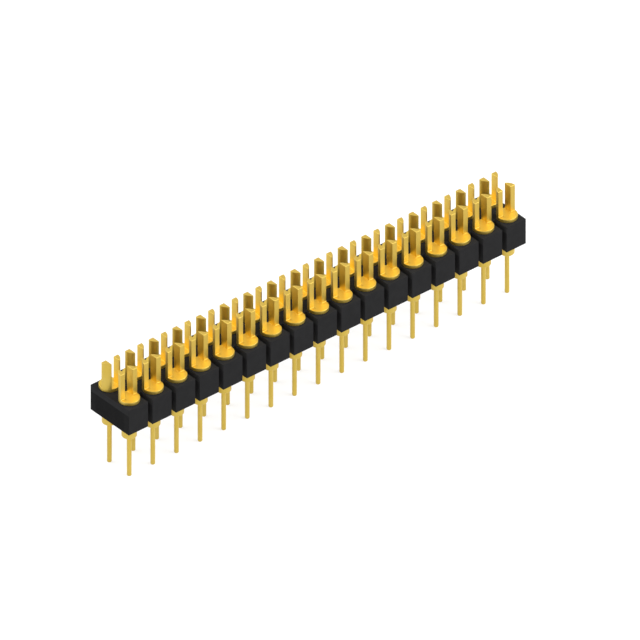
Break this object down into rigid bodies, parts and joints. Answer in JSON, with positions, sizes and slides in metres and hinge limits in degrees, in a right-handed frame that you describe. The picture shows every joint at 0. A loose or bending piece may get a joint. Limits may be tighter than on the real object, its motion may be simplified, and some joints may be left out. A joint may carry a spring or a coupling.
{
  "type": "solder pin header",
  "caption": "Strip of turned, gold-plated solder pins with slotted half-cut heads and thin solder tails, pressed in rows into a notched black plastic insulator.",
  "frame": {"origin": "centre of the strip's footprint, at the tips of the solder tails", "axes": "+X along the strip, +Y across from row a to row b, +Z from the tails up to the slotted heads"},
  "size_m": [0.0428, 0.005, 0.0105],
  "materials": {
    "insulator": "satin, moulded, black",
    "contact": "turned brass with bright gold plating"
  },
  "bodies": {
    "root": {"insulator": "insulator", "contact_a01": "contact", "contact_a02": "contact", "contact_a03": "contact", "contact_a04": "contact", "contact_a05": "contact", "contact_a06": "contact", "contact_a07": "contact", "contact_a08": "contact", "contact_a09": "contact", "contact_a10": "contact", "contact_a11": "contact", "contact_a12": "contact", "contact_a13": "contact", "contact_a14": "contact", "contact_a15": "contact", "contact_a16": "contact", "contact_a17": "contact", "contact_b01": "contact", "contact_b02": "contact", "contact_b03": "contact", "contact_b04": "contact", "contact_b05": "contact", "contact_b06": "contact", "contact_b07": "contact", "contact_b08": "contact", "contact_b09": "contact", "contact_b10": "contact", "contact_b11": "contact", "contact_b12": "contact", "contact_b13": "contact", "contact_b14": "contact", "contact_b15": "contact", "contact_b16": "contact", "contact_b17": "contact"}
  },
  "joints": []
}
